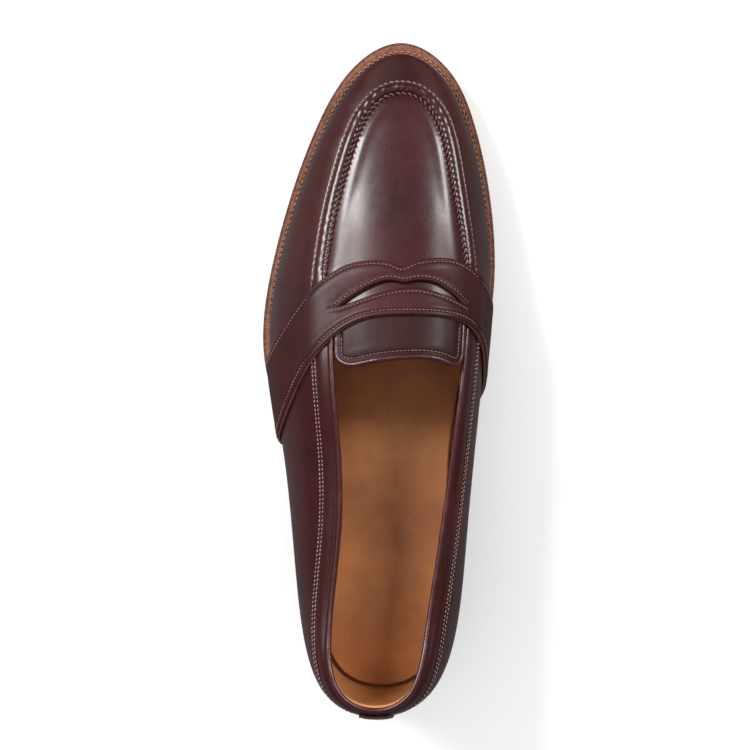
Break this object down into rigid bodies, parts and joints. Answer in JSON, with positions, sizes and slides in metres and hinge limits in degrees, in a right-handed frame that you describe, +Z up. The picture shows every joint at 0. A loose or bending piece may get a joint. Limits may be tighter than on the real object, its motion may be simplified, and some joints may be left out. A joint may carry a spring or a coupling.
{
  "type": "penny loafer",
  "caption": "Left dress loafer with an apron toe, a slotted saddle strap over the instep, a hinging tongue flap, a stitched welt and a stacked leather heel.",
  "frame": {"origin": "on the floor under the middle of the heel, on the bottom face of the heel's top piece", "axes": "+Y towards the toe, +X towards the inner (medial) side of the foot, +Z up"},
  "size_m": [0.1097, 0.3047, 0.0865],
  "materials": {
    "upper_leather": "glossy shell cordovan, oxblood",
    "binding_leather": "glossy, dark oxblood",
    "strap_leather": "glossy shell cordovan, oxblood",
    "lining_leather": "natural, matt",
    "sole_leather": "burnished edge, waxed",
    "welt_leather": "wheeled and burnished",
    "stiffener": "raw fibre side",
    "insole_leather": "natural, matt",
    "top_rubber": "matt",
    "cork": "granulated cork",
    "steel": "plain",
    "brass": "polished",
    "seam_thread": "waxed thread, brown",
    "saddle_thread": "waxed thread, rose",
    "quarter_thread": "waxed thread, pale pink",
    "welt_yarn": "waxed thread, tan"
  },
  "bodies": {
    "shoe": {"outsole": "sole_leather", "welt": "welt_leather", "heel_rand": "welt_leather", "heel_lift_upper": "sole_leather", "heel_lift_middle": "sole_leather", "heel_lift_lower": "sole_leather", "top_piece_leather": "sole_leather", "top_piece_rubber": "top_rubber", "heel_nails": "brass", "shank": "steel", "cork_filler": "cork", "insole": "insole_leather", "sock_lining": "lining_leather", "heel_counter": "stiffener", "toe_puff": "stiffener", "vamp_lining": "lining_leather", "apron_lining": "lining_leather", "quarter_lining": "lining_leather", "vamp": "upper_leather", "apron": "upper_leather", "quarter_lateral": "upper_leather", "quarter_medial": "upper_leather", "back_strip": "upper_leather", "saddle_strap": "strap_leather", "topline_binding": "binding_leather", "apron_seam_thread": "seam_thread", "vamp_ridge_thread": "seam_thread", "strap_front_thread": "saddle_thread", "strap_slot_thread": "saddle_thread", "strap_rear_thread": "saddle_thread", "topline_thread": "quarter_thread", "welt_thread": "welt_yarn"},
    "tongue_flap": {"tongue": "upper_leather", "tongue_lining": "lining_leather", "tongue_binding": "binding_leather", "tongue_thread": "saddle_thread"}
  },
  "joints": [
    {"name": "tongue_hinge", "type": "hinge", "parent": "shoe", "child": "tongue_flap", "pos_m": [0.011, 0.141, 0.0735], "axis": [-1, 0, 0], "range_deg": [0, 35]}
  ]
}
